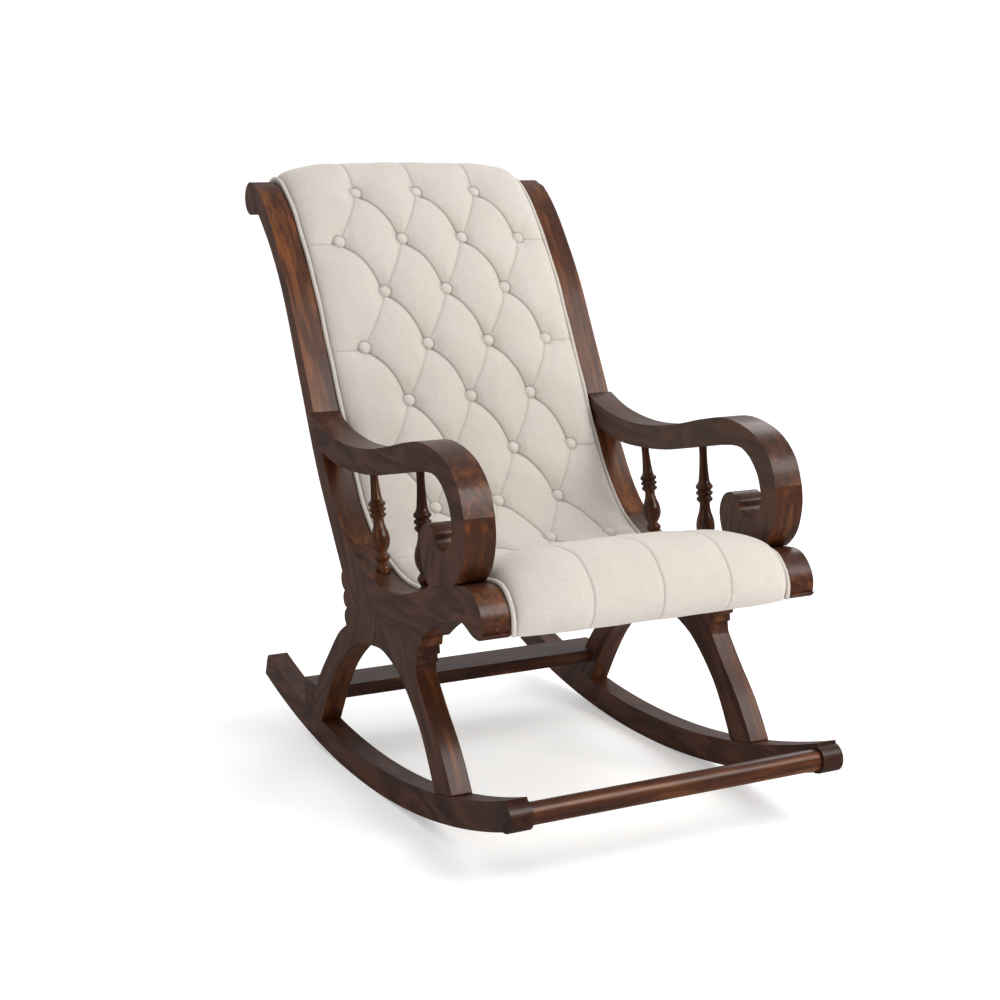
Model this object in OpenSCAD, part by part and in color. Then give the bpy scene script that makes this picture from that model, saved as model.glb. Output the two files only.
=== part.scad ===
// Rocking chair: two sawn side frames on curved rockers, joined by cross rails
// and carrying one buttoned pad that runs over the back and the seat.

/* [Overall] */
// Width over the side frames
overall_w = 600; // [560:5:660]
// Thickness of the rockers and legs
leg_t = 38; // [30:1:44]
// Thickness of the back posts and seat rails
rail_t = 48; // [42:1:54]
// Width of the arm boards
arm_t = 52; // [44:1:58]

/* [Rockers] */
// Radius of the curve that rolls on the floor
rocker_r = 1600; // [1300:50:2000]
// Depth of the rocker board
rocker_t = 46; // [38:1:52]
// Where the curve touches the floor, from the middle
contact_y = 22; // [0:1:50]
// Radius of the round knuckle at the front of each rocker
knuckle_r = 23; // [20:1:25]

/* [Cross members] */
// Diameter of the round foot bar
foot_bar_d = 35; // [28:1:38]
// Depth of the rear stretcher board, front to back
stretcher_d = 85; // [70:1:90]
// Thickness of the rear stretcher board
stretcher_h = 24; // [18:1:28]
// Thickness of the hidden cross rails
cross_t = 24; // [18:1:25]

/* [Upholstery] */
// Height of the pad above the frame
pad_crown = 34; // [24:1:42]
// Depth of the pad below the frame's front edge
pad_sink = 13; // [8:1:15]
// Diameter of the piping
piping_d = 7; // [5:0.5:9]
// Diameter of a covered button
button_d = 22; // [16:1:26]
// Spacing of the buttons across the pad
button_gap = 123; // [110:1:130]
// Distance down the pad from its top end to the first row of buttons
first_row = 122; // [100:2:140]
// Spacing of the rows down the pad
row_gap = 106; // [90:1:110]

/* [Turned spindles] */
// Largest radius of a spindle
spindle_r = 16; // [12:0.5:18]
// Radius of the pin at each end of a spindle
pin_r = 5; // [4:0.5:6]

/* [Joinery] */
// Radius of a dowel
dowel_r = 4; // [3:0.5:5]

/* [Hidden] */

xo = overall_w / 2;
leg_in = xo - leg_t;
rail_in = xo - rail_t;
arm_out = xo + 6;
arm_in = arm_out - arm_t;
pad_half = rail_in - 2;
y_shift = -13.35;
knuckle = [-508, 112];

// The front line of the frame, seen from the side, from behind the crest to under the nose.
face = [[548, 1000], [530, 1012], [505, 1014], [470, 1000], [420, 956], [370, 893],
  [320, 820], [270, 728], [222, 640], [182, 562], [150, 508], [110, 453], [60, 408],
  [0, 380], [-60, 366], [-110, 364], [-160, 371], [-220, 391], [-290, 414], [-360, 429],
  [-400, 430], [-426, 412], [-438, 388], [-436, 362]];
// Where the post, the seat rail and the two legs of a side frame meet.
hub = [-50, 310];
// Top of the arch between the legs.
arch = [-40, 256];
// Top of the front leg, under the seat rail.
leg_top = [-230, 316];
// Front and inner corners of the joint between the arm and its scroll.
arm_tip = [-392, 536];
arm_nook = [-350, 524];

// The back line of a post, from the hub to below the top scroll.
post_back = [[95, 360], [140, 425], [205, 525], [275, 665], [345, 805], [405, 890], [470, 955]];
// The underside of the seat rail, from the nose to the top of the front leg.
rail_under = [[-443, 370], [-430, 360], [-405, 362], [-365, 375], [-315, 365], [-265, 340],
  leg_top];
arm_top = [[215, 620], [150, 596], [60, 584], [-25, 588], [-105, 602], [-180, 620],
  [-250, 630], [-325, 615], [-372, 580], arm_tip];
arm_low = [arm_nook, [-338, 552], [-308, 580], [-265, 587], [-145, 565], [-65, 550],
  [15, 543], [100, 544], [190, 562]];
// The scroll under an arm, round the outside, over its rolled end and down into the slot.
scroll_edge = [arm_tip, [-395, 500], [-382, 455], [-345, 422], [-285, 404], [-250, 428],
  [-235, 468], [-245, 498], [-268, 508], [-288, 498], [-292, 484], [-304, 474], [-326, 474],
  [-346, 490], [-352, 508], arm_nook];
rear_out = [[80, 264], [115, 242], [160, 195], [210, 138], [265, 55]];
rear_in = [[207, 50], [160, 128], [115, 185], [50, 235], [5, 252], arch];
front_in = [arch, [-80, 255], [-140, 232], [-195, 187], [-235, 138], [-284, 50]];
front_out = [[-350, 50], [-330, 90], [-290, 150], [-240, 206], [-206, 248]];
// The stepped moulding at the top of the front leg.
leg_steps = [[-203, 264], [-211, 268], [-209, 280], [-219, 284], [-217, 297], [-227, 301]];

function unit(v) = v / norm(v);
function turned(v) = [-v[1], v[0]];
// A smooth curve through hand-placed points.
function knot(a, b, c, d, t) =
  0.5 * ((2 * b) + (c - a) * t + (2 * a - 5 * b + 4 * c - d) * t * t
  + (3 * b - a - 3 * c + d) * t * t * t);
function curve(p, n) = [for (i = [0 : len(p) - 2]) for (k = [0 : n - 1])
  knot(p[max(i - 1, 0)], p[i], p[i + 1], p[min(i + 2, len(p) - 1)], k / n),
  p[len(p) - 1]];
// Height of the seam between a post and the legs under it.
function seam(y) = hub[1] - 0.1 * (y - hub[0]);
function part_of(p, a, b) = [for (i = [a : b]) p[i]];
function normal_at(p, i) =
  turned(unit(p[min(i + 1, len(p) - 1)] - p[max(i - 1, 0)]));
// Positive distances lie on the sitter's side of the line.
function beside(p, i, d) = p[i] - d * normal_at(p, i);

steps = 3;
line = curve(face, steps);
last = len(line) - 1;
function crown(i) = pad_crown * sqrt(min(1, (i + 3) / 14, (last - i + 4) / 9));
function strip(a, b, lo, hi) = concat(
  [for (i = [a : b]) beside(line, i, hi)],
  [for (i = [b : -1 : a]) beside(line, i, lo)]);

module plate(p, x0, x1) {
  translate([x0, 0, 0])
    rotate([90, 0, 90])
      linear_extrude(height = x1 - x0)
        polygon(p);
}
module disc(c, r, x0, x1, n = 96) {
  translate([x0, c[0], c[1]])
    rotate([0, 90, 0])
      cylinder(h = x1 - x0, r = r, $fn = n);
}
module placed() {
  translate([0, y_shift, 0])
    children();
}
// The sitter's left is +X; the right side is its mirror image.
module on_side(s) {
  placed()
    if (s > 0)
      children();
    else
      mirror([1, 0, 0])
        children();
}
module peg(x, y, z, a, h, r) {
  translate([x, y, z])
    rotate([a, 0, 0])
      cylinder(h = h, r = r, center = true, $fn = 32);
}
module cross_peg(y, z) {
  translate([xo - 20, y, z])
    rotate([0, -90, 0])
      cylinder(h = 60, r = dowel_r, $fn = 32);
}

// Middle of each cross rail: [first step, last step] along the line.
crest_at = [5, 11];
lumbar_at = [27, 32];
rear_at = [40, 45];
front_at = [54, 59];
rail_mid = -(pad_sink + 2.5 + cross_t / 2);
function mid_of(r) = beside(line, round((r[0] + r[1]) / 2), rail_mid);
stretcher_at = [200, 94];
block_y = 268;

module side_dowels() {
  for (x = [xo - 28, xo - 12]) {
    peg(x, 233, 82, 38, 56, dowel_r);
    peg(x, -306, 76, -31, 56, dowel_r);
    peg(x, -4, 307, 0, 50, dowel_r);
    peg(x, 50, 302, 0, 50, dowel_r);
    peg(x, -112, 313, 0, 46, dowel_r);
    peg(x, -178, 316, 0, 46, dowel_r);
    peg(x, -20, 337.5, 41.4, 40, dowel_r);
    peg(x, -372, 529, 0, 40, dowel_r);
    peg(x, 197, 588, -76, 50, dowel_r);
    peg(x, -316, 420, 0, 36, dowel_r);
  }
  peg(xo - 19, block_y, 80, 0, 56, dowel_r);
}
module cross_dowels() {
  for (r = [crest_at, lumbar_at, rear_at, front_at]) {
    a = beside(line, r[0] + 1, rail_mid);
    b = beside(line, r[1] - 1, rail_mid);
    cross_peg(a[0], a[1]);
    cross_peg(b[0], b[1]);
  }
}
module plug_bores() {
  for (p = [[470, 92], [250, 62], [-318, 52]])
    disc(p, 4, xo - 6, xo, 32);
}
module rocker_band(r0, r1, x0, x1) {
  difference() {
    disc([contact_y, rocker_r], r0, x0, x1, 720);
    disc([contact_y, rocker_r], r1, x0 - 1, x1 + 1, 720);
  }
}
module rocker() {
  difference() {
    union() {
      intersection() {
        rocker_band(rocker_r, rocker_r - rocker_t, leg_in, xo);
        plate([[-498, -10], [-498, 84], [-512, 128], [-505, 160], [455, 160], [455, 118],
          [468, 115], [477, 109], [482, 100], [492, 70], [492, -10]], leg_in - 1, xo + 1);
      }
      disc(knuckle, knuckle_r, leg_in, xo);
    }
    disc([-513, 88], 3, leg_in - 1, xo + 1, 32);
    disc(knuckle, foot_bar_d / 2 - 5, leg_in - 1, leg_in + 22);
    side_dowels();
    plug_bores();
  }
}
// Everything above the rocker's upper curve.
module above_rocker(x0, x1) {
  disc([contact_y, rocker_r], rocker_r - rocker_t, x0, x1, 720);
}
module rear_leg_blank() {
  plate(concat([[76, seam(76)]], curve(rear_out, 4), curve(rear_in, 4), [hub]), leg_in, xo);
}
module rear_leg() {
  difference() {
    intersection() {
      union() {
        rear_leg_blank();
        disc([70, 280], 16, leg_in, xo);
      }
      above_rocker(leg_in - 1, xo + 1);
      plate([[-400, 0], [400, 0], [400, seam(400)], [-400, seam(-400)]], leg_in - 1, xo + 1);
    }
    side_dowels();
  }
}
module front_leg() {
  difference() {
    intersection() {
      plate(concat(curve(front_in, 4), curve(front_out, 4), leg_steps, [leg_top, hub]),
        leg_in, xo);
      above_rocker(leg_in - 1, xo + 1);
      plate([hub, leg_top, [-600, leg_top[1]], [-600, 0], [arch[0], 0], arch], leg_in - 1, xo + 1);
    }
    side_dowels();
  }
}
module post_blank(x0, x1) {
  plate(concat([[500, 1009]], part_of(line, 9, 36), [hub, [76, seam(76)], [78, 345]],
    curve(post_back, 4), [[490, 964]]), x0, x1);
  disc([508, 981], 30, x0, x1);
}
module back_post() {
  difference() {
    intersection() {
      union() {
        post_blank(rail_in, xo);
        disc([78, 345], 20, rail_in, xo);
        disc([74, 312], 16, rail_in, xo);
      }
      plate([[-400, seam(-400)], [400, seam(400)], [900, seam(400)], [900, 1200], [-400, 1200]],
        rail_in - 1, xo + 1);
    }
    side_dowels();
    cross_dowels();
  }
}
module rail_blank(x0, x1) {
  plate(concat(part_of(line, 36, 68), curve(rail_under, 4), [hub]), x0, x1);
}
module seat_rail() {
  difference() {
    rail_blank(rail_in, xo);
    side_dowels();
    cross_dowels();
    spindle_pins();
  }
}
module arm_blank(x0, x1) {
  plate(concat(curve(arm_top, 4), curve(arm_low, 4)), x0, x1);
}
module arm() {
  difference() {
    arm_blank(arm_in, arm_out);
    post_blank(arm_in - 10, arm_out + 10);
    side_dowels();
    spindle_pins();
  }
}
module arm_scroll() {
  difference() {
    plate(curve(scroll_edge, 4), arm_in, arm_out);
    arm_cut();
    rail_blank(arm_in - 10, arm_out + 10);
    side_dowels();
  }
}
module arm_cut() {
  plate([[-500, 567], arm_tip, arm_nook, [-340, 521], [-340, 700], [-500, 700]],
    arm_in - 10, arm_out + 10);
}

spindle_x = xo - spindle_r * 2;
rear_base = [-14, 372];
rear_head = [28, 548];
front_base = [-180, 366];
front_head = [-160, 572];
module between(a, b) {
  translate([spindle_x, a[0], a[1]])
    rotate([-atan2(b[0] - a[0], b[1] - a[1]), 0, 0])
      children();
}
// Turning profile: [height as a share of the length, radius as a share of the largest].
turning = [[0, 0.72], [0.05, 0.78], [0.08, 0.62], [0.1, 0.5], [0.13, 0.74], [0.155, 0.82],
  [0.18, 0.66], [0.2, 0.52], [0.235, 0.76], [0.28, 0.96], [0.33, 1], [0.38, 0.9], [0.44, 0.66],
  [0.49, 0.56], [0.515, 0.6], [0.535, 0.84], [0.555, 0.86], [0.57, 0.68], [0.585, 0.86],
  [0.605, 0.9], [0.62, 0.7], [0.635, 0.88], [0.655, 0.92], [0.675, 0.74], [0.7, 0.6],
  [0.78, 0.5], [0.86, 0.44], [0.94, 0.42], [1, 0.44]];
module turned_body(h) {
  rotate_extrude($fn = 48)
    polygon(concat([[0, 0]], [for (p = turning) [p[1] * spindle_r, p[0] * h]], [[0, h]]));
}
module pins_of(a, b) {
  between(a, b)
    translate([0, 0, -14])
      cylinder(h = norm(b - a) + 28, r = pin_r, $fn = 48);
}
module spindle_pins() {
  pins_of(rear_base, rear_head);
  pins_of(front_base, front_head);
}
module spindle(a, b) {
  difference() {
    between(a, b)
      turned_body(norm(b - a));
    rail_blank(rail_in - 10, xo + 10);
    arm_blank(rail_in - 10, xo + 10);
  }
  pins_of(a, b);
}
module foot_bar() {
  placed() {
    disc(knuckle, foot_bar_d / 2, -leg_in, leg_in);
    disc(knuckle, foot_bar_d / 2 - 5, -leg_in - 22, leg_in + 22);
  }
}
module both_cross_dowels() {
  cross_dowels();
  mirror([1, 0, 0])
    cross_dowels();
}
module rear_stretcher() {
  placed()
    difference() {
      translate([-xo, stretcher_at[0], stretcher_at[1]])
        cube([overall_w, stretcher_d, stretcher_h]);
      for (m = [0, 1])
        mirror([m, 0, 0]) {
          rear_leg_blank();
          side_dowels();
        }
    }
}
module stretcher_block() {
  difference() {
    intersection() {
      translate([leg_in, block_y - 22, 40])
        cube([leg_t, 38, stretcher_at[1] - 40]);
      above_rocker(leg_in - 1, xo + 1);
    }
    rear_leg_blank();
    side_dowels();
  }
}
module cross_rail(r) {
  placed()
    difference() {
      plate(strip(r[0], r[1], -(pad_sink + 2.5 + cross_t), -(pad_sink + 2.5)),
        -rail_in, rail_in);
      both_cross_dowels();
    }
}
module long_pad() {
  placed()
    plate(concat([for (i = [0 : last]) beside(line, i, crown(i))],
      [for (i = [last : -1 : 0]) beside(line, i, -pad_sink)]),
      -(pad_half - piping_d), pad_half - piping_d);
}
module piping() {
  plate(strip(0, last, -2, piping_d - 2), pad_half - piping_d, pad_half);
}
module webbing() {
  placed()
    for (k = [-2 : 2])
      plate(strip(2, last - 2, -(pad_sink + 2.5), -pad_sink), k * 92 - 26, k * 92 + 26);
}
module back_cloth() {
  placed()
    plate(strip(12, 38, -(pad_sink + cross_t + 4.5), -(pad_sink + cross_t + 3)),
      -rail_in + 2, rail_in - 2);
}
// Rows of buttons down the pad, 3 and 4 in turn.
row_count = 9;
function travel(i) = i < 1 ? 0 : travel(i - 1) + norm(line[i] - line[i - 1]);
function step_at(d, i = 0) = travel(i) >= d ? i : step_at(d, i + 1);
module buttons() {
  placed()
    for (row = [0 : row_count - 1])
      let (i = step_at(first_row + row * row_gap), count = 3 + row % 2,
        p = beside(line, i, crown(i) + 0.2), n = -normal_at(line, i))
        for (k = [0 : count - 1])
          translate([(k - (count - 1) / 2) * button_gap, p[0], p[1]])
            rotate([-atan2(n[0], n[1]), 0, 0])
              cylinder(h = 4, r = button_d / 2, $fn = 48);
}
module joint_dowels() {
  for (s = [-1, 1])
    on_side(s) {
      side_dowels();
      cross_dowels();
    }
}
module rocker_plugs() {
  for (s = [-1, 1])
    on_side(s)
      plug_bores();
}

wood = [0.30, 0.17, 0.12];
warm = [0.42, 0.22, 0.12];
cloth = [0.86, 0.82, 0.77];
module in_wood() { color(wood) children(); }

in_wood() on_side(-1) rocker();  // right_rocker
in_wood() on_side(1) rocker();  // left_rocker
in_wood() on_side(-1) rear_leg();  // right_rear_leg
in_wood() on_side(1) rear_leg();  // left_rear_leg
in_wood() on_side(-1) front_leg();  // right_front_leg
in_wood() on_side(1) front_leg();  // left_front_leg
in_wood() on_side(-1) back_post();  // right_back_post
in_wood() on_side(1) back_post();  // left_back_post
in_wood() on_side(-1) seat_rail();  // right_seat_rail
in_wood() on_side(1) seat_rail();  // left_seat_rail
in_wood() on_side(-1) arm();  // right_arm
in_wood() on_side(1) arm();  // left_arm
in_wood() on_side(-1) arm_scroll();  // right_arm_scroll
in_wood() on_side(1) arm_scroll();  // left_arm_scroll
in_wood() on_side(-1) spindle(rear_base, rear_head);  // right_rear_spindle
in_wood() on_side(1) spindle(rear_base, rear_head);  // left_rear_spindle
in_wood() on_side(-1) spindle(front_base, front_head);  // right_front_spindle
in_wood() on_side(1) spindle(front_base, front_head);  // left_front_spindle
color(warm) foot_bar();
in_wood() rear_stretcher();
in_wood() on_side(-1) stretcher_block();  // right_stretcher_block
in_wood() on_side(1) stretcher_block();  // left_stretcher_block
color(warm) cross_rail(crest_at);  // crest_rail
color(warm) cross_rail(lumbar_at);  // lumbar_rail
color(warm) cross_rail(rear_at);  // rear_seat_rail
color(warm) cross_rail(front_at);  // front_seat_rail
color(cloth) long_pad();
color(cloth) on_side(-1) piping();  // right_piping
color(cloth) on_side(1) piping();  // left_piping
color(cloth) buttons();  // tuft_buttons
color("tan") webbing();  // support_webbing
color("dimgray") back_cloth();
color("burlywood") joint_dowels();
color("burlywood") rocker_plugs();
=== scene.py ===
"""Rocking chair: looks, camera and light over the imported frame."""
import math
import bmesh
import bpy
import numpy as np
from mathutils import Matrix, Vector


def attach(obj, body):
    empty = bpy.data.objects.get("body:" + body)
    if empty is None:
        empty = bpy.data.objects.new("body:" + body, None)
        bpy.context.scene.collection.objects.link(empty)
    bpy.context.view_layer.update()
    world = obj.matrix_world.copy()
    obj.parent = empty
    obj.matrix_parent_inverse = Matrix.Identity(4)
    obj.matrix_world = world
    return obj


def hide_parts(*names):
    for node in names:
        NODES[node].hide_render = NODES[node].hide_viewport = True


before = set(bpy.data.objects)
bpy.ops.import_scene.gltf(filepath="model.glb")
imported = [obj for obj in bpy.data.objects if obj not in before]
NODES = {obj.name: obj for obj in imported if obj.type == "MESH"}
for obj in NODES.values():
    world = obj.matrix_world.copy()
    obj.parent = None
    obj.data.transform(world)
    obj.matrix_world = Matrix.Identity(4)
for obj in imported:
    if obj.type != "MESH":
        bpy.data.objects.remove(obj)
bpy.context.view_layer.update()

# The CAD source's shift from design places to the shared frame, in millimetres.
Y_SHIFT = -13.35
# The pad and what is sewn to it, in metres.
PAD_HALF = 0.243
PAD_SINK = 0.013
PAD_UNDER = 0.2508
PIPING_X = 0.2476
PIPING_R = 0.0038
PIPING_LIFT = 0.0022
BUTTON_GAP = 0.123
BUTTON_R = 0.0113
BUTTON_LIFT = 0.0064
BUTTON_SIDES = 28
# Points of the pad's grid across and along.
PAD_GRID = (289, 840)
# The pad's height above the frame line, and its swells: extra height, place along, width.
PAD_HEIGHT = 0.030
SWELLS = [(0.010, 0.0, 0.09), (-0.010, 0.86, 0.12), (0.015, 1.205, 0.12)]
# Marks in the pad: how deep each goes, and how far it spreads.
VALLEY_DEPTH = 0.0044
VALLEY_WIDTH = 0.011
SLIT_DEPTH = 0.0026
SLIT_WIDTH = 0.0015
DIMPLE_DEPTH = 0.0100
DIMPLE_EDGE = 0.0125
DIMPLE_WIDTH = 0.020
PUFF_HEIGHT = 0.0035
GATHER_HEIGHT = 0.0009
RUMPLE_HEIGHT = 0.0010
# Ring of painted shade round each button: its radius and width.
SHADE_RING_RADIUS = 0.0122
SHADE_RING_WIDTH = 0.0014
# How far along the line its direction is taken, each way.
DIRECTION_REACH = 0.012
# The front line of the frame, seen from the side, in millimetres, as in the CAD source.
FACE = [(548, 1000), (530, 1012), (505, 1014), (470, 1000), (420, 956), (370, 893),
        (320, 820), (270, 728), (222, 640), (182, 562), (150, 508), (110, 453), (60, 408),
        (0, 380), (-60, 366), (-110, 364), (-160, 371), (-220, 391), (-290, 414), (-360, 429),
        (-400, 430), (-426, 412), (-438, 388), (-436, 362)]
FIRST_ROW = 0.122
ROW_GAP = 0.106
# Rows of buttons: distance along the line in metres, buttons in the row.
ROWS = [(FIRST_ROW + ROW_GAP * k, 3 + k % 2) for k in range(9)]
# Foot and head of each turned spindle, seen from the side, in millimetres.
SPINDLES = {"rear": ((-14, 372), (28, 548)), "front": ((-180, 366), (-160, 572))}
SPINDLE_X = 0.268
SPINDLE_R = 0.016
SPINDLE_SIDES = 40
# Turning profile: height as a share of the length, radius as a share of the largest.
TURNING = [(0, 0.72), (0.05, 0.78), (0.08, 0.62), (0.1, 0.5), (0.13, 0.74), (0.155, 0.82),
           (0.18, 0.66), (0.2, 0.52), (0.235, 0.76), (0.28, 0.96), (0.33, 1), (0.38, 0.9),
           (0.44, 0.66), (0.49, 0.56), (0.515, 0.6), (0.535, 0.84), (0.555, 0.86),
           (0.57, 0.68), (0.585, 0.86), (0.605, 0.9), (0.62, 0.7), (0.635, 0.88),
           (0.655, 0.92), (0.675, 0.74), (0.7, 0.6), (0.78, 0.5), (0.86, 0.44), (0.94, 0.42),
           (1, 0.44)]
# Where the dark stain on the rockers' front tips ends, and how fast it fades, per metre.
TIP_Y = -0.517
TIP_FADE = 22.0
# Arrises sharper than this are rounded, flatter edges are merged, and the rest shade smoothly.
SHARP_ANGLE = math.radians(32)
MERGE_ANGLE = math.radians(0.6)
SMOOTH_ANGLE = math.radians(38)
# The photographer's place, how far the camera looks down and turns, in degrees, and its lens.
CAMERA_PLACE = (-1.452, -2.722, 1.064)
CAMERA_DOWN = 10.92
CAMERA_TURN = -27.5
CAMERA_LENS = 64.73
# Share of its own light that the floor gives off, and how pale it is.
FLOOR_GLOW = 0.36
FLOOR_TONE = 0.82
# How far the studio's and the floor's light drops in mirrored views.
MIRROR_DROP = 0.6


# ---------------------------------------------------------------- small helpers
def smooth_curve(points, n):
    """A smooth curve through points, as an array."""
    p = np.array(points, float)
    out = []
    for i in range(len(p) - 1):
        a, b, c, d = p[max(i - 1, 0)], p[i], p[i + 1], p[min(i + 2, len(p) - 1)]
        for k in range(n):
            t = k / n
            out.append(0.5 * ((2 * b) + (c - a) * t + (2 * a - 5 * b + 4 * c - d) * t * t
                              + (3 * b - a - 3 * c + d) * t ** 3))
    out.append(p[-1])
    return np.array(out)


def new_piece(name, bm, material, node=None):
    """Makes an object of a bmesh, gives it its material and body, and lets it stand for a node."""
    mesh = bpy.data.meshes.new(name)
    bm.to_mesh(mesh)
    bm.free()
    obj = bpy.data.objects.new(name, mesh)
    bpy.context.scene.collection.objects.link(obj)
    mesh.materials.append(material)
    if node:
        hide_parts(node)
    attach(obj, "root")
    return obj


class Shader:
    """Short names for building a node material."""

    def __init__(self, name):
        self.mat = bpy.data.materials.new(name)
        self.mat.use_nodes = True
        self.tree = self.mat.node_tree
        self.bsdf = self.tree.nodes["Principled BSDF"]

    def node(self, kind, **values):
        made = self.tree.nodes.new(kind)
        for key, value in values.items():
            setattr(made, key, value)
        return made

    def link(self, a, b):
        self.tree.links.new(a, b)

    def math(self, op, a, b=0.0, clamp=False, plus=None):
        made = self.tree.nodes.new("ShaderNodeMath")
        made.operation = op
        made.use_clamp = clamp
        for socket, value in zip(made.inputs, (a, b)):
            if isinstance(value, (int, float)):
                socket.default_value = value
            else:
                self.link(value, socket)
        if plus is not None:
            made.inputs[2].default_value = plus
        return made.outputs[0]

    def ramp(self, fac, stops):
        made = self.tree.nodes.new("ShaderNodeValToRGB")
        while len(made.color_ramp.elements) < len(stops):
            made.color_ramp.elements.new(0.5)
        for element, (pos, colour) in zip(made.color_ramp.elements, stops):
            element.position = pos
            element.color = (*colour, 1)
        self.link(fac, made.inputs[0])
        return made.outputs[0]

    def mix(self, fac, a, b, mode="MIX"):
        made = self.tree.nodes.new("ShaderNodeMix")
        made.data_type = "RGBA"
        made.blend_type = mode
        for socket, value in ((made.inputs[0], fac), (made.inputs[6], a), (made.inputs[7], b)):
            if isinstance(value, (int, float)):
                socket.default_value = value
            elif isinstance(value, tuple):
                socket.default_value = (*value, 1)
            else:
                self.link(value, socket)
        return made.outputs[2]

    def bump(self, height, strength, distance):
        made = self.tree.nodes.new("ShaderNodeBump")
        made.inputs["Strength"].default_value = strength
        made.inputs["Distance"].default_value = distance
        self.link(height, made.inputs["Height"])
        return made.outputs[0]

    def noise(self, vector, scale, detail=4.0, rough=0.55, distort=0.0):
        made = self.tree.nodes.new("ShaderNodeTexNoise")
        made.inputs["Scale"].default_value = scale
        made.inputs["Detail"].default_value = detail
        made.inputs["Roughness"].default_value = rough
        made.inputs["Distortion"].default_value = distort
        self.link(vector, made.inputs["Vector"])
        return made.outputs[0]


# ---------------------------------------------------------------- materials
def wood(name, grain, seed, tint=1.0, front_highlight=1.0, gloss=0.30, tips=False):
    """Dark lacquered walnut-brown wood with its grain along a direction of the frame, and a painted
    highlight on its forward faces.
    """
    s = Shader(name)
    coord = s.node("ShaderNodeTexCoord")
    turn = Vector(grain).normalized().rotation_difference(Vector((0, 0, 1))).to_euler()
    place = s.node("ShaderNodeMapping")
    place.inputs["Rotation"].default_value = turn
    place.inputs["Location"].default_value = (seed * 0.37, seed * 0.71, seed * 0.13)
    s.link(coord.outputs["Object"], place.inputs["Vector"])
    stretch = s.node("ShaderNodeMapping")
    stretch.inputs["Scale"].default_value = (1, 1, 0.07)
    s.link(place.outputs[0], stretch.inputs["Vector"])
    broad = s.node("ShaderNodeMapping")
    broad.inputs["Scale"].default_value = (1, 1, 0.2)
    s.link(place.outputs[0], broad.inputs["Vector"])
    figure = s.noise(broad.outputs[0], 13, 3, 0.5, 0.3)
    rings = s.math("SINE", s.math("MULTIPLY", figure, 46))
    rings = s.math("MULTIPLY_ADD", rings, 0.5, plus=0.5)
    streak = s.noise(stretch.outputs[0], 85, 7, 0.62, 0.2)
    pores = s.noise(stretch.outputs[0], 620, 2, 0.5)
    cloud = s.noise(broad.outputs[0], 7, 3, 0.6, 0.6)
    dark = (0.016 * tint, 0.0052 * tint, 0.0030 * tint)
    mid = (0.044 * tint, 0.0145 * tint, 0.0078 * tint)
    light = (0.088 * tint, 0.032 * tint, 0.0165 * tint)
    umber = (0.064 * tint, 0.0165 * tint, 0.0040 * tint)
    painted_highlight = (0.27 * tint, 0.082 * tint, 0.013 * tint)
    grainy = s.math("ADD", s.math("MULTIPLY", rings, 0.30), s.math("MULTIPLY", streak, 0.70))
    base = s.ramp(grainy, [(0.26, dark), (0.47, mid), (0.72, light)])
    # Painted highlight: faces that look forward, toward the key lamp, are painted a lighter, warmer
    # amber than the sawn side faces.
    facing = s.node("ShaderNodeNewGeometry")
    split = s.node("ShaderNodeSeparateXYZ")
    s.link(facing.outputs["Normal"], split.inputs[0])
    front = s.math("MULTIPLY", split.outputs[1], -1.25 * min(front_highlight, 1.2), True)
    highlight_pattern = s.math("ADD", s.math("MULTIPLY", streak, 0.62), s.math("MULTIPLY", cloud, 0.38))
    edge = s.ramp(highlight_pattern, [(0.36, dark), (0.50, umber), (0.66, painted_highlight)])
    colour = s.mix(front, base, edge)
    pore = s.ramp(pores, [(0.36, (0.5, 0.5, 0.5)), (0.47, (1, 1, 1))])
    colour = s.mix(0.6, colour, pore, "MULTIPLY")
    if tips:
        place_of = s.node("ShaderNodeSeparateXYZ")
        s.link(coord.outputs["Object"], place_of.inputs[0])
        # The front tips of the rockers are stained darkest.
        stain = s.math("MULTIPLY_ADD", place_of.outputs[1], TIP_FADE, plus=-TIP_FADE * TIP_Y)
        stain = s.ramp(stain, [(0.0, (0.28, 0.25, 0.25)), (1.0, (1, 1, 1))])
        colour = s.mix(1.0, colour, stain, "MULTIPLY")
    wear = s.node("ShaderNodeAttribute", attribute_name="wear")
    rub = s.math("MULTIPLY", wear.outputs["Fac"], s.noise(place.outputs[0], 60, 4, 0.7))
    colour = s.mix(s.math("MULTIPLY", rub, 0.5, True), colour, light)
    s.link(colour, s.bsdf.inputs["Base Color"])
    haze = s.noise(place.outputs[0], 24, 4, 0.6)
    rough = s.math("ADD", s.math("MULTIPLY", haze, 0.16), gloss - 0.04)
    rough = s.math("ADD", rough, s.math("MULTIPLY", rub, 0.1))
    s.link(rough, s.bsdf.inputs["Roughness"])
    s.bsdf.inputs["Specular IOR Level"].default_value = 0.26
    s.bsdf.inputs["Coat Weight"].default_value = 0.14
    s.bsdf.inputs["Coat Roughness"].default_value = 0.18
    relief = s.math("ADD", s.math("MULTIPLY", streak, 0.7), s.math("MULTIPLY", pores, 0.5))
    s.link(s.bump(relief, 0.16, 0.0006), s.bsdf.inputs["Normal"])
    return s.mat


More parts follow.
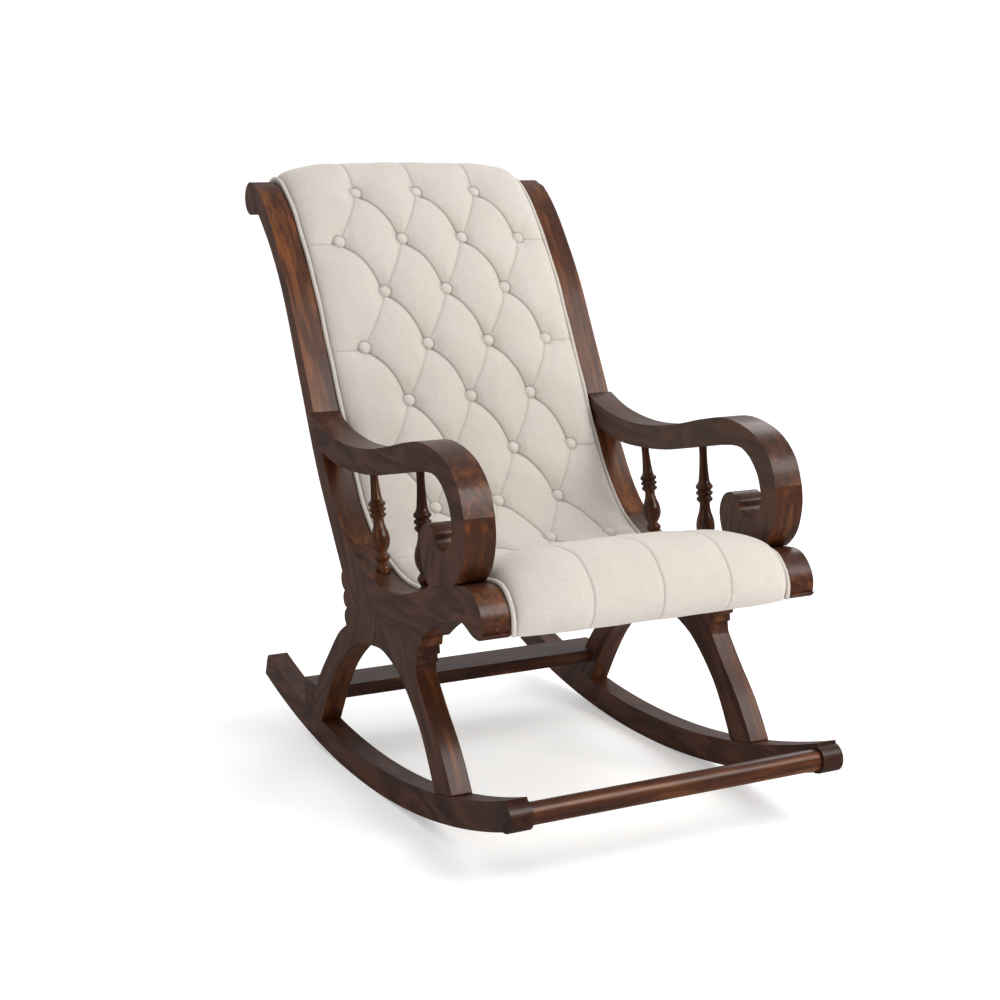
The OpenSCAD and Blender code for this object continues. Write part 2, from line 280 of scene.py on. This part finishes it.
def raw_wood(name, grain, seed, pale=1.0):
    """Sawn inner wood, matt and paler."""
    s = Shader(name)
    coord = s.node("ShaderNodeTexCoord")
    turn = Vector(grain).normalized().rotation_difference(Vector((0, 0, 1))).to_euler()
    place = s.node("ShaderNodeMapping")
    place.inputs["Rotation"].default_value = turn
    place.inputs["Scale"].default_value = (1, 1, 0.08)
    place.inputs["Location"].default_value = (seed, seed * 0.4, 0)
    s.link(coord.outputs["Object"], place.inputs["Vector"])
    streak = s.noise(place.outputs[0], 120, 6, 0.65)
    colour = s.ramp(streak, [(0.3, (0.16 * pale, 0.085 * pale, 0.045 * pale)),
                             (0.7, (0.36 * pale, 0.22 * pale, 0.125 * pale))])
    s.link(colour, s.bsdf.inputs["Base Color"])
    s.link(s.math("ADD", s.math("MULTIPLY", streak, 0.2), 0.55), s.bsdf.inputs["Roughness"])
    s.link(s.bump(streak, 0.3, 0.0008), s.bsdf.inputs["Normal"])
    return s.mat


def cloth(name, light, shade, pitch=0.0011, uv=True, relief=0.22, sheen=0.25):
    """Plain-woven cloth: crossing threads, slubs, and painted shade where the pad's creases and
    button rings darken it.
    """
    s = Shader(name)
    coord = s.node("ShaderNodeTexCoord")
    source = coord.outputs["UV"] if uv else coord.outputs["Object"]
    split = s.node("ShaderNodeSeparateXYZ")
    s.link(source, split.inputs[0])
    along = split.outputs[1]
    turns = 2 * math.pi / pitch
    wobble = s.math("MULTIPLY", s.noise(source, 90, 3, 0.6), pitch * 1.6)
    warp = s.math("SINE", s.math("MULTIPLY", s.math("ADD", split.outputs[0], wobble), turns))
    weft = s.math("SINE", s.math("MULTIPLY", s.math("ADD", along, wobble), turns))
    weave = s.math("MULTIPLY_ADD", s.math("MULTIPLY", warp, weft), 0.5, plus=0.5)
    slub_x = s.node("ShaderNodeMapping")
    slub_x.inputs["Scale"].default_value = (1, 0.06, 1)
    s.link(source, slub_x.inputs["Vector"])
    slub_y = s.node("ShaderNodeMapping")
    slub_y.inputs["Scale"].default_value = (0.06, 1, 1)
    s.link(source, slub_y.inputs["Vector"])
    threads_x = s.noise(slub_x.outputs[0], 620, 3, 0.7)
    threads_y = s.noise(slub_y.outputs[0], 620, 3, 0.7)
    threads = s.math("MULTIPLY", s.math("ADD", threads_x, threads_y), 0.5)
    cloudy = s.noise(source, 9, 3, 0.6)
    tone = s.math("ADD", s.math("MULTIPLY", threads, 0.75), s.math("MULTIPLY", weave, 0.25))
    colour = s.ramp(tone, [(0.30, shade), (0.62, light)])
    tint = s.ramp(cloudy, [(0.3, (0.955, 0.95, 0.94)), (0.7, (1, 1, 1))])
    colour = s.mix(1.0, colour, tint, "MULTIPLY")
    # Painted shade: the cloth darkens along the pad's creases, round each button and under the
    # buttons.
    painted_shade = s.node("ShaderNodeAttribute", attribute_name="painted_shade")
    colour = s.mix(s.math("MULTIPLY", painted_shade.outputs["Fac"], 0.62, True), colour,
                   tuple(0.42 * v for v in shade))
    s.link(colour, s.bsdf.inputs["Base Color"])
    s.bsdf.inputs["Roughness"].default_value = 0.88
    s.bsdf.inputs["Specular IOR Level"].default_value = 0.2
    s.bsdf.inputs["Sheen Weight"].default_value = sheen
    s.bsdf.inputs["Sheen Roughness"].default_value = 0.5
    height = s.math("ADD", s.math("MULTIPLY", weave, 0.55), s.math("MULTIPLY", threads, 0.9))
    s.link(s.bump(height, relief, 0.0006), s.bsdf.inputs["Normal"])
    return s.mat


# ---------------------------------------------------------------- wooden pieces
def softened(node, material, width=0.0022, segments=3):
    """A copy of a CAD node with its arrises rounded and a little worn."""
    bm = bmesh.new()
    bm.from_mesh(NODES[node].data)
    bmesh.ops.remove_doubles(bm, verts=bm.verts, dist=2e-5)
    bmesh.ops.dissolve_limit(bm, angle_limit=MERGE_ANGLE, verts=bm.verts, edges=bm.edges)
    bm.normal_update()
    sharp = [e for e in bm.edges if len(e.link_faces) == 2
             and e.calc_face_angle(0) > SHARP_ANGLE and e.calc_length() > 0.0006]
    before = set(bm.faces)
    layer = bm.verts.layers.float.new("wear")
    made = bmesh.ops.bevel(bm, geom=sharp, offset=width, offset_type="OFFSET",
                           segments=segments, profile=0.5, affect="EDGES",
                           clamp_overlap=True)
    for vert in made["verts"]:
        vert[layer] = 1.0
    bmesh.ops.triangulate(bm, faces=[f for f in bm.faces if len(f.verts) > 4],
                          quad_method="BEAUTY", ngon_method="BEAUTY")
    for face in bm.faces:
        face.smooth = True
    for edge in bm.edges:
        edge.smooth = edge.calc_face_angle(0) < SMOOTH_ANGLE
    obj = new_piece(node + "_rounded", bm, material, node)
    keep = obj.modifiers.new("normals", "WEIGHTED_NORMAL")
    keep.keep_sharp = True


def wooden_parts():
    """Every rounded wooden piece: grain direction, tint and strength of the painted highlight on
    its front faces.
    """
    leg_back = (0, 0.67, -0.74)
    leg_front = (0, -0.6, -0.8)
    post = (0, 0.52, 0.85)
    plan = {
        "rocker": ((0, 1, 0), 1.00, 0.9), "rear_leg": (leg_back, 0.95, 0.7),
        "front_leg": (leg_front, 1.02, 1.0), "back_post": (post, 1.05, 1.0),
        "seat_rail": ((0, 1, 0), 1.04, 1.1), "arm": ((0, 1, 0.06), 0.95, 0.75),
        "arm_scroll": ((0, -0.25, 1), 1.0, 0.95), "stretcher_block": ((0, 1, 0), 0.8, 0.5),
    }
    seed = 1
    for side in ("right", "left"):
        for part, (grain, tint, front_highlight) in plan.items():
            seed += 1
            made = wood("wood_" + side + "_" + part, grain, seed, tint, front_highlight,
                        tips=part == "rocker")
            softened(side + "_" + part, made)
    stretcher = wood("wood_stretcher", (1, 0, 0), 31, 0.8, 0.5)
    softened("rear_stretcher", stretcher)
    bar = wood("wood_foot_bar", (1, 0, 0), 37, 1.1, 1.2, 0.24)
    softened("foot_bar", bar, 0.0012)
    for k, name in enumerate(("crest_rail", "lumbar_rail", "rear_seat_rail",
                              "front_seat_rail")):
        softened(name, raw_wood("wood_" + name, (1, 0, 0), 5 + k), 0.0015)


def spindle(side, which, base, head):
    """A turned spindle as one smooth lathe form."""
    sign = 1 if side == "left" else -1
    a = Vector((sign * SPINDLE_X, (base[0] + Y_SHIFT) / 1000, base[1] / 1000))
    b = Vector((sign * SPINDLE_X, (head[0] + Y_SHIFT) / 1000, head[1] / 1000))
    axis = b - a
    profile = smooth_curve(TURNING, 5)
    turn = Vector((0, 0, 1)).rotation_difference(axis).to_matrix()
    bm = bmesh.new()
    rings = []
    for share, radius in profile:
        centre = a + axis * float(share)
        ring = []
        for k in range(SPINDLE_SIDES):
            angle = 2 * math.pi * k / SPINDLE_SIDES
            out = turn @ Vector((math.cos(angle), math.sin(angle), 0))
            ring.append(bm.verts.new(centre + out * SPINDLE_R * float(radius)))
        rings.append(ring)
    for low, high in zip(rings, rings[1:]):
        for k in range(SPINDLE_SIDES):
            n = (k + 1) % SPINDLE_SIDES
            face = bm.faces.new((low[k], low[n], high[n], high[k]))
            face.smooth = True
    bm.faces.new(rings[0][::-1])
    bm.faces.new(rings[-1])
    seed = 40 + (3 if which == "rear" else 7) + sign
    made = wood("wood_" + side + "_" + which + "_spindle", tuple(axis), seed, 0.85, 0.7, 0.20)
    name = side + "_" + which + "_spindle"
    new_piece(name + "_turned", bm, made, name)


# ---------------------------------------------------------------- the long pad
class Line:
    """The side line of the pad: place and outward direction at a distance along it."""

    def __init__(self):
        p = smooth_curve(FACE, 24)
        p[:, 0] += Y_SHIFT
        p /= 1000
        step = np.linalg.norm(np.diff(p, axis=0), axis=1)
        self.s = np.concatenate([[0], np.cumsum(step)])
        self.p = p
        self.length = float(self.s[-1])

    def at(self, s):
        return np.stack([np.interp(s, self.s, self.p[:, 0]),
                         np.interp(s, self.s, self.p[:, 1])], -1)

    def out(self, s):
        ahead = self.at(np.clip(s + DIRECTION_REACH, 0, self.length))
        behind = self.at(np.clip(s - DIRECTION_REACH, 0, self.length))
        t = ahead - behind
        t /= np.linalg.norm(t, axis=-1, keepdims=True)
        return np.stack([t[..., 1], -t[..., 0]], -1)


LINE = Line()


def button_places():
    """Place of every button: across the pad, and along its line."""
    return [((k - (count - 1) / 2) * BUTTON_GAP, s) for s, count in ROWS for k in range(count)]


def pleats():
    """Every pleat as (points (across, along), strength), bowed like the real folds."""
    lines = []
    t = np.linspace(0, 1, 26)
    bow = np.sin(t * math.pi)
    for (s0, n0), (s1, n1) in zip(ROWS, ROWS[1:]):
        for i in range(n0):
            for j in range(n1):
                x0 = (i - (n0 - 1) / 2) * BUTTON_GAP
                x1 = (j - (n1 - 1) / 2) * BUTTON_GAP
                if abs(x0 - x1) > BUTTON_GAP * 0.6:
                    continue
                # Folds that run down to the sitter's left are deep and bowed; the others are faint.
                deep = x1 > x0
                sag_x, sag_s, strength = (0.0045, -0.0050, 1.0) if deep else (0.0015, 0.0020, 0.5)
                lines.append((np.stack([x0 + (x1 - x0) * t + sag_x * bow,
                                        s0 + (s1 - s0) * t + sag_s * bow], -1), strength))
    edge = 1.5 * BUTTON_GAP
    for s, n in ROWS:
        if n == 4:
            for side in (-1, 1):
                lines.append((np.stack([side * (edge + (PAD_HALF + 0.004 - edge) * t),
                                        s + 0.005 * bow], -1), 0.55))
    for k in (-1, 0, 1):
        lines.append((np.stack([k * BUTTON_GAP - 0.008 * t, ROWS[0][0] * (1 - t) - 0.01 * t], -1),
                      0.6))
        lines.append((np.stack([np.full(t.shape, k * BUTTON_GAP),
                                ROWS[-1][0] + (LINE.length - ROWS[-1][0]) * t], -1), 0.8))
    return lines


def folds(x, s):
    """Broad valley and narrow slit of the pleats at each point of the grid, from 0 to 1."""
    broad, narrow = np.zeros(x.shape), np.zeros(x.shape)
    for line, strength in pleats():
        lo, hi = line.min(0) - 0.05, line.max(0) + 0.05
        near = (x > lo[0]) & (x < hi[0]) & (s > lo[1]) & (s < hi[1])
        px, ps = x[near], s[near]
        d = np.full(px.shape, 1.0)
        for (x0, s0), (x1, s1) in zip(line, line[1:]):
            vx, vs = x1 - x0, s1 - s0
            t = np.clip(((px - x0) * vx + (ps - s0) * vs) / (vx * vx + vs * vs + 1e-12), 0, 1)
            d = np.minimum(d, np.hypot(px - x0 - t * vx, ps - s0 - t * vs))
        broad[near] = np.maximum(broad[near], strength * np.exp(-(d / VALLEY_WIDTH) ** 1.15))
        narrow[near] = np.maximum(narrow[near], strength * np.exp(-(d / SLIT_WIDTH) ** 2))
    return broad, narrow


def bump_at(s, centre, width):
    """A smooth rise of 1 at one place along the line."""
    return np.exp(-((s - centre) / width) ** 2)


def crown(s):
    """Height of the pad's middle above the frame line."""
    height = PAD_HEIGHT
    for rise, place, width in SWELLS:
        height = height + rise * bump_at(s, place, width)
    start = np.clip((s + 0.006) / 0.07, 0.03, 1) ** 0.5
    end = np.clip((LINE.length - s + 0.006) / 0.05, 0.03, 1) ** 0.5
    return height * start * end


def surface(x, s):
    """Height above the line and the painted shade of creases and button rings at each point of the
    pad.
    """
    across = np.clip(np.abs(x) / PAD_HALF, 0, 1)
    body = crown(s) * (1 - across ** 5.0) ** 0.42
    body = body * (0.86 + 0.14 * (1 - across ** 2))
    broad, narrow = folds(x, s)
    r = np.full(x.shape, 1.0)
    for bx, bs in button_places():
        r = np.minimum(r, np.hypot(x - bx, s - bs))
    inside = np.clip((1 - across) / 0.10, 0, 1)
    front = np.clip((s - 1.02) / 0.10, 0, 1)
    top = np.clip((0.10 - s) / 0.06, 0, 1)
    calm = 1 - np.maximum(0.72 * front, 0.7 * top)
    valley = VALLEY_DEPTH * broad * calm
    slit = SLIT_DEPTH * narrow * (1 - 0.3 * front)
    dimple = DIMPLE_DEPTH * np.exp(-(np.maximum(r - DIMPLE_EDGE, 0) / DIMPLE_WIDTH) ** 1.25)
    puff = PUFF_HEIGHT * (1 - broad) * (1 - np.maximum(front, top))
    ends = np.clip(crown(s) / 0.03, 0.1, 1)
    gather = GATHER_HEIGHT * np.sin(x * 210 + 3 * np.sin(s * 31)) * np.exp(-(r / 0.03) ** 2)
    height = body + (puff - valley - slit - dimple) * (0.3 + 0.7 * inside) * ends + gather
    rumple = (RUMPLE_HEIGHT * np.sin(x * 41 + 2.1 * np.sin(s * 23))
              * np.sin(s * 37 + 1.3 * np.cos(x * 29)))
    height = height + rumple * inside
    # Painted shade: darkest along the pleat slits and in a ring round each button, a little near
    # each button.
    rim = np.exp(-((r - SHADE_RING_RADIUS) / SHADE_RING_WIDTH) ** 2)
    painted_shade = np.maximum(0.95 * narrow, 1.0 * rim) + 0.08 * np.exp(-(r / 0.018) ** 2)
    return height, np.clip(painted_shade, 0, 1)


def long_pad(material):
    """The buttoned pad: a fine grid on top, and a coarse sheet below that closes it."""
    nx, ns = PAD_GRID
    u = np.linspace(-1, 1, nx)
    xs = PAD_HALF * np.sign(u) * np.abs(u) ** 0.94
    ss = np.linspace(0, LINE.length, ns)
    x, s = np.meshgrid(xs, ss)
    height, painted_shade = surface(x, s)
    place, out = LINE.at(s), LINE.out(s)
    top = np.stack([x, place[..., 0] + out[..., 0] * height,
                    place[..., 1] + out[..., 1] * height], -1)
    under_x = np.array([PAD_UNDER, 0.12, 0.0, -0.12, -PAD_UNDER])
    ux, us = np.meshgrid(under_x, ss)
    uplace, uout = LINE.at(us), LINE.out(us)
    under = np.stack([ux, uplace[..., 0] - uout[..., 0] * PAD_SINK,
                      uplace[..., 1] - uout[..., 1] * PAD_SINK], -1)
    sheet = np.concatenate([top, under], 1)
    count = sheet.shape[1]
    bm = bmesh.new()
    shade = bm.verts.layers.float.new("painted_shade")
    uv = bm.loops.layers.uv.new("weave")
    rows = []
    for i in range(ns):
        row = [bm.verts.new(v) for v in sheet[i].tolist()]
        for j in range(nx):
            row[j][shade] = float(painted_shade[i, j])
        rows.append(row)
    flat = np.concatenate([xs, np.array([PAD_HALF + 0.02 + 0.1 * k for k in range(5)])])
    for i in range(ns - 1):
        for j in range(count):
            k = (j + 1) % count
            face = bm.faces.new((rows[i][j], rows[i][k], rows[i + 1][k], rows[i + 1][j]))
            face.smooth = True
            us4 = (flat[j], flat[k] if k else flat[j] + 0.02)
            for loop, (a, b) in zip(face.loops, ((us4[0], ss[i]), (us4[1], ss[i]),
                                                 (us4[1], ss[i + 1]), (us4[0], ss[i + 1]))):
                loop[uv].uv = (a, b)
    bm.faces.new(rows[0][::-1])
    bm.faces.new(rows[-1])
    bmesh.ops.recalc_face_normals(bm, faces=bm.faces)
    pad = new_piece("long_pad_tufted", bm, material, "long_pad")


def tube(name, points, radius, material, node, sides=14):
    """A round cord of cloth through points, closed at both ends."""
    bm = bmesh.new()
    uv = bm.loops.layers.uv.new("weave")
    rings = []
    gone = 0.0
    along = []
    for i, p in enumerate(points):
        a = Vector(points[max(i - 1, 0)])
        b = Vector(points[min(i + 1, len(points) - 1)])
        t = (b - a).normalized()
        side = Vector((1, 0, 0))
        up = t.cross(side).normalized()
        if i:
            gone += (Vector(p) - Vector(points[i - 1])).length
        along.append(gone)
        squeeze = 1 + 0.035 * math.sin(gone * 520) + 0.03 * math.sin(gone * 97)
        rings.append([bm.verts.new(Vector(p) + radius * squeeze
                                   * (side * math.cos(2 * math.pi * k / sides)
                                      + up * math.sin(2 * math.pi * k / sides)))
                      for k in range(sides)])
    for i in range(len(rings) - 1):
        for k in range(sides):
            n = (k + 1) % sides
            face = bm.faces.new((rings[i][k], rings[i][n], rings[i + 1][n], rings[i + 1][k]))
            face.smooth = True
            for loop, (a, b) in zip(face.loops, ((k, i), (k + 1, i), (k + 1, i + 1), (k, i + 1))):
                loop[uv].uv = (a * 0.0015, along[b])
    bm.faces.new(rings[0][::-1])
    bm.faces.new(rings[-1])
    bmesh.ops.recalc_face_normals(bm, faces=bm.faces)
    new_piece(name, bm, material, node)


def piping(material):
    """The cord sewn along both edges of the pad."""
    s = np.linspace(0.001, LINE.length - 0.001, 520)
    place, out = LINE.at(s), LINE.out(s)
    for side, sign in (("right", -1), ("left", 1)):
        wander = 0.0004 * np.sin(s * 60 + sign)
        points = np.stack([np.full(s.shape, sign * PIPING_X) + wander,
                           place[:, 0] + out[:, 0] * PIPING_LIFT,
                           place[:, 1] + out[:, 1] * PIPING_LIFT], -1)
        tube(side + "_piping_cord", points.tolist(), PIPING_R, material, side + "_piping")


def buttons(material):
    """Cloth-covered buttons pulled into the pad, as one piece of separate domes."""
    bm = bmesh.new()
    uv = bm.loops.layers.uv.new("weave")
    shade = bm.verts.layers.float.new("painted_shade")
    # Profile of a button: share of its radius, and height in metres.
    dome = [(0.0, 0.0052), (0.25, 0.0050), (0.5, 0.0044), (0.72, 0.0032), (0.88, 0.0016),
            (0.97, -0.0004), (1.0, -0.0026), (0.95, -0.0046), (0.80, -0.0060)]
    for number, (bx, bs) in enumerate(button_places()):
        height, _ = surface(np.array([[bx]]), np.array([[bs]]))
        place, out = LINE.at(np.array([bs]))[0], LINE.out(np.array([bs]))[0]
        lift = float(height[0, 0]) + BUTTON_LIFT
        centre = Vector((bx, place[0] + out[0] * lift, place[1] + out[1] * lift))
        normal = Vector((0.03 * math.sin(number * 2.3), out[0], out[1])).normalized()
        turn = Vector((0, 0, 1)).rotation_difference(normal).to_matrix()
        rings = []
        for share, rise in dome:
            ring = []
            for k in range(BUTTON_SIDES):
                angle = 2 * math.pi * k / BUTTON_SIDES
                ripple = 1 + 0.02 * math.sin(7 * angle + number) * share
                flat = Vector((math.cos(angle) * share, math.sin(angle) * share, 0)) * ripple
                ring.append(bm.verts.new(centre + turn @ (flat * BUTTON_R
                                                          + Vector((0, 0, rise)))))
                # Painted shade on the button's two lowest rings, where it sinks into the pad.
                ring[-1][shade] = 0.5 if share == 0.80 or rise < -0.003 else 0.0
            rings.append(ring)
        for low, high in zip(rings, rings[1:]):
            for k in range(BUTTON_SIDES):
                n = (k + 1) % BUTTON_SIDES
                face = bm.faces.new((low[k], low[n], high[n], high[k]))
                face.smooth = True
        bm.faces.new(rings[-1][::-1])
    bmesh.ops.remove_doubles(bm, verts=bm.verts, dist=1e-6)
    bmesh.ops.recalc_face_normals(bm, faces=bm.faces)
    for face in bm.faces:
        for loop in face.loops:
            loop[uv].uv = (loop.vert.co.x, loop.vert.co.z)
    new_piece("tuft_buttons_covered", bm, material, "tuft_buttons")


def hidden_parts():
    """Webbing, back cloth, dowels and plugs keep their CAD shapes."""
    webbing = cloth("jute_webbing", (0.46, 0.36, 0.23), (0.26, 0.19, 0.11), 0.003, False, 0.5, 0.1)
    lining = cloth("back_lining", (0.62, 0.57, 0.50), (0.42, 0.38, 0.33), 0.0016, False, 0.3, 0.2)
    peg = raw_wood("wood_dowels", (0, 0, 1), 21, 1.1)
    plug = wood("wood_plugs", (1, 0, 0), 23, 0.45, 0.2)
    for node, material in (("support_webbing", webbing), ("back_cloth", lining),
                           ("joint_dowels", peg), ("rocker_plugs", plug)):
        obj = NODES[node]
        if not obj.material_slots:
            obj.data.materials.append(material)
        for entry in obj.material_slots:
            entry.material = material


# ---------------------------------------------------------------- floor, light, camera
def room():
    """A wide pale floor and the studio round it."""
    bpy.ops.mesh.primitive_plane_add(size=400, location=(0, 0, -0.0005))
    floor = bpy.context.object
    floor.name = "floor"
    s = Shader("pale_floor")
    s.bsdf.inputs["Roughness"].default_value = 0.95
    s.bsdf.inputs["Specular IOR Level"].default_value = 0.0
    s.bsdf.inputs["Emission Color"].default_value = (1, 1, 1, 1)
    # Polished wood mirrors a darker floor than the eye sees, as with a small sheet of white card.
    path = s.node("ShaderNodeLightPath")
    glossy = path.outputs["Is Glossy Ray"]
    glow = s.math("MULTIPLY_ADD", glossy, -FLOOR_GLOW, plus=FLOOR_GLOW)
    s.link(glow, s.bsdf.inputs["Emission Strength"])
    grey = s.math("MULTIPLY_ADD", glossy, -MIRROR_DROP, plus=FLOOR_TONE)
    s.link(grey, s.bsdf.inputs["Base Color"])
    floor.data.materials.append(s.mat)
    studio()


def studio():
    """White walls behind and above, darker ones to the left and front, seen as plain white."""
    world = bpy.data.worlds.new("studio")
    world.use_nodes = True
    tree = world.node_tree
    background = tree.nodes["Background"]
    coord = tree.nodes.new("ShaderNodeTexCoord")
    behind = tree.nodes.new("ShaderNodeVectorMath")
    behind.operation = "DOT_PRODUCT"
    behind.inputs[1].default_value = (0.35, 0.62, 0.70)
    tree.links.new(coord.outputs["Generated"], behind.inputs[0])
    walls = tree.nodes.new("ShaderNodeMapRange")
    walls.inputs["From Min"].default_value = -0.35
    walls.inputs["From Max"].default_value = 0.75
    walls.inputs["To Min"].default_value = 0.24
    walls.inputs["To Max"].default_value = 1.10
    tree.links.new(behind.outputs["Value"], walls.inputs["Value"])
    path = tree.nodes.new("ShaderNodeLightPath")
    seen = tree.nodes.new("ShaderNodeMix")
    seen.inputs[3].default_value = 1.1
    tree.links.new(path.outputs["Is Camera Ray"], seen.inputs[0])
    mirrored = tree.nodes.new("ShaderNodeMath")
    mirrored.operation = "MULTIPLY_ADD"
    mirrored.inputs[1].default_value = -MIRROR_DROP
    mirrored.inputs[2].default_value = 1.0
    tree.links.new(path.outputs["Is Glossy Ray"], mirrored.inputs[0])
    dimmed = tree.nodes.new("ShaderNodeMath")
    dimmed.operation = "MULTIPLY"
    tree.links.new(walls.outputs["Result"], dimmed.inputs[0])
    tree.links.new(mirrored.outputs[0], dimmed.inputs[1])
    tree.links.new(dimmed.outputs[0], seen.inputs[2])
    tree.links.new(seen.outputs[0], background.inputs[1])
    background.inputs[0].default_value = (1, 1, 1, 1)
    bpy.context.scene.world = world


def lamp(name, place, aim, size, power, colour=(1, 1, 1)):
    """A rectangular lamp that looks at a place."""
    data = bpy.data.lights.new(name, "AREA")
    data.shape = "RECTANGLE"
    data.size, data.size_y = size
    data.energy = power
    data.color = colour
    obj = bpy.data.objects.new(name, data)
    obj.location = place
    obj.rotation_euler = (Vector(aim) - Vector(place)).to_track_quat("-Z", "Y").to_euler()
    bpy.context.scene.collection.objects.link(obj)


def lights():
    lamp("key", (1.5, -2.5, 2.7), (0, 0, 0.5), (2.1, 1.7), 80, (1.0, 0.985, 0.965))
    lamp("fill", (-3.4, -1.6, 1.9), (0, 0, 0.5), (1.0, 2.0), 9, (0.97, 0.98, 1.0))
    lamp("rim", (2.4, 1.6, 2.2), (0, 0, 0.6), (1.0, 1.6), 14)


def camera():
    """The photographer's place and lens."""
    data = bpy.data.cameras.new("photo_camera")
    data.sensor_width = 36
    data.lens = CAMERA_LENS
    obj = bpy.data.objects.new("photo_camera", data)
    obj.location = CAMERA_PLACE
    obj.rotation_euler = (math.radians(90 - CAMERA_DOWN), 0, math.radians(CAMERA_TURN))
    bpy.context.scene.collection.objects.link(obj)
    bpy.context.scene.camera = obj


def main():
    linen = cloth("linen_cover", (0.66, 0.61, 0.555), (0.52, 0.477, 0.43))
    trim = cloth("linen_piping", (0.66, 0.615, 0.56), (0.50, 0.457, 0.41), 0.0012)
    cap = cloth("linen_buttons", (0.68, 0.63, 0.575), (0.53, 0.487, 0.437), 0.0012)
    wooden_parts()
    for side in ("right", "left"):
        for which, (base, head) in SPINDLES.items():
            spindle(side, which, base, head)
    long_pad(linen)
    piping(trim)
    buttons(cap)
    hidden_parts()
    room()
    lights()
    camera()
    bpy.context.scene.view_settings.view_transform = "Standard"


main()
